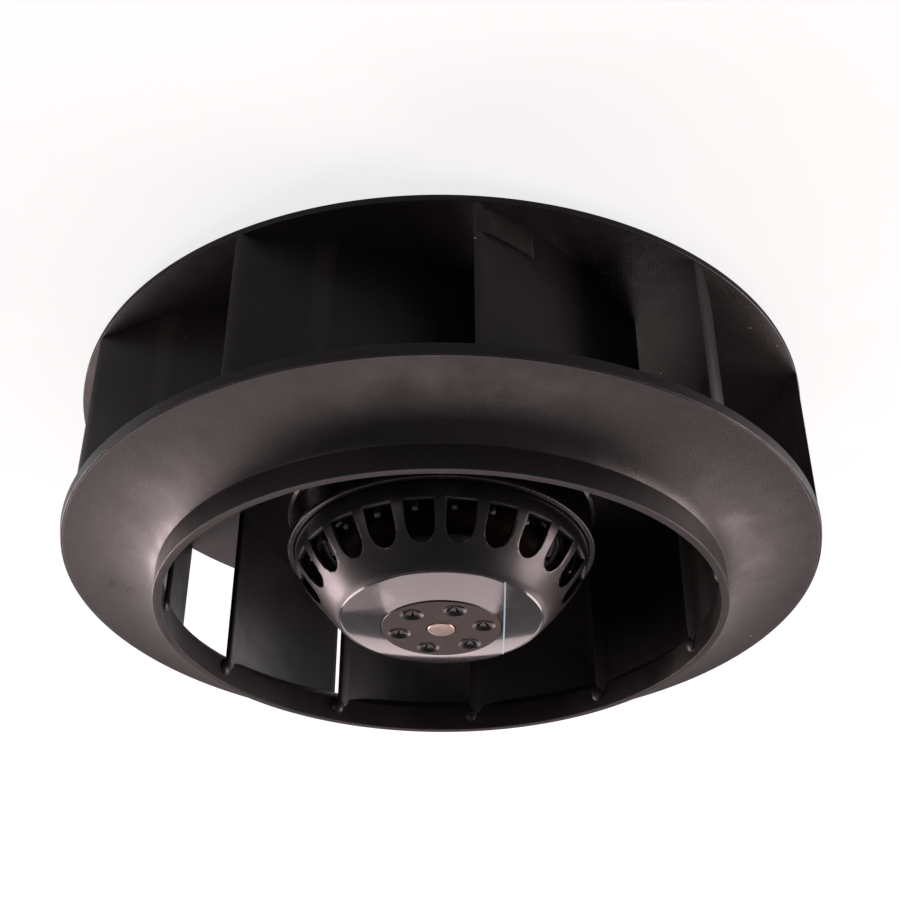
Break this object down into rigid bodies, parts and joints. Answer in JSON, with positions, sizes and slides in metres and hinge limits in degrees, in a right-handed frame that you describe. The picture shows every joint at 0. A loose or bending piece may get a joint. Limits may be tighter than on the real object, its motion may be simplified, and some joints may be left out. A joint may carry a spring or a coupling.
{
  "type": "plug fan",
  "caption": "Backward-curved centrifugal fan wheel with shroud and back plate, carried on an external-rotor motor with a flat mounting flange.",
  "frame": {"origin": "on the shaft axis, in the mounting face of the motor flange, the part's lowest face", "axes": "+Z along the shaft towards the air inlet; X and Y across the wheel"},
  "size_m": [0.22, 0.22, 0.071],
  "materials": {
    "wheel_plastic": "fine-grained moulded plastic",
    "rotor_paint": "gloss black paint",
    "cast_aluminium": "as cast",
    "bright_steel": "ground",
    "spring_steel": "blued",
    "electrical_steel": "stamped sheets",
    "copper": "enamelled copper wire",
    "insulator_plastic": "moulded",
    "rubber": "matte",
    "label_foil": "glossy foil",
    "clip_steel": "darkened sheet"
  },
  "bodies": {
    "stator": {"motor_flange": "cast_aluminium", "flange_cap": "bright_steel", "lead_grommet": "rubber", "stator_core": "electrical_steel", "lower_insulator": "insulator_plastic", "upper_insulator": "insulator_plastic", "stator_winding": "copper", "lower_bearing_outer_ring": "bright_steel", "upper_bearing_outer_ring": "bright_steel", "bearing_spring": "spring_steel"},
    "rotor": {"shaft": "bright_steel", "shaft_circlip": "spring_steel", "lower_bearing_inner_ring": "bright_steel", "upper_bearing_inner_ring": "bright_steel", "rotor_can": "rotor_paint", "rotor_label": "label_foil", "rotor_iron": "electrical_steel", "upper_cage_ring": "cast_aluminium", "lower_cage_ring": "cast_aluminium", "back_plate": "wheel_plastic", "shroud": "wheel_plastic", "blade_01": "wheel_plastic", "blade_02": "wheel_plastic", "blade_03": "wheel_plastic", "blade_04": "wheel_plastic", "blade_05": "wheel_plastic", "blade_06": "wheel_plastic", "blade_07": "wheel_plastic", "blade_08": "wheel_plastic", "blade_09": "wheel_plastic", "blade_10": "wheel_plastic", "blade_11": "wheel_plastic", "balance_clip": "clip_steel"},
    "lower_cage": {"lower_bearing_balls": "bright_steel"},
    "upper_cage": {"upper_bearing_balls": "bright_steel"}
  },
  "joints": [
    {"name": "rotor_spin", "type": "hinge", "parent": "stator", "child": "rotor", "pos_m": [0, 0, 0], "axis": [0, 0, -1], "continuous": true},
    {"name": "lower_cage_spin", "type": "hinge", "parent": "stator", "child": "lower_cage", "pos_m": [0, 0, 0.0085], "axis": [0, 0, -1], "continuous": true},
    {"name": "upper_cage_spin", "type": "hinge", "parent": "stator", "child": "upper_cage", "pos_m": [0, 0, 0.052], "axis": [0, 0, -1], "continuous": true}
  ],
  "couplings": [
    {"joint": "lower_cage_spin", "follows": "rotor_spin", "ratio": 0.3693},
    {"joint": "upper_cage_spin", "follows": "rotor_spin", "ratio": 0.3693}
  ]
}
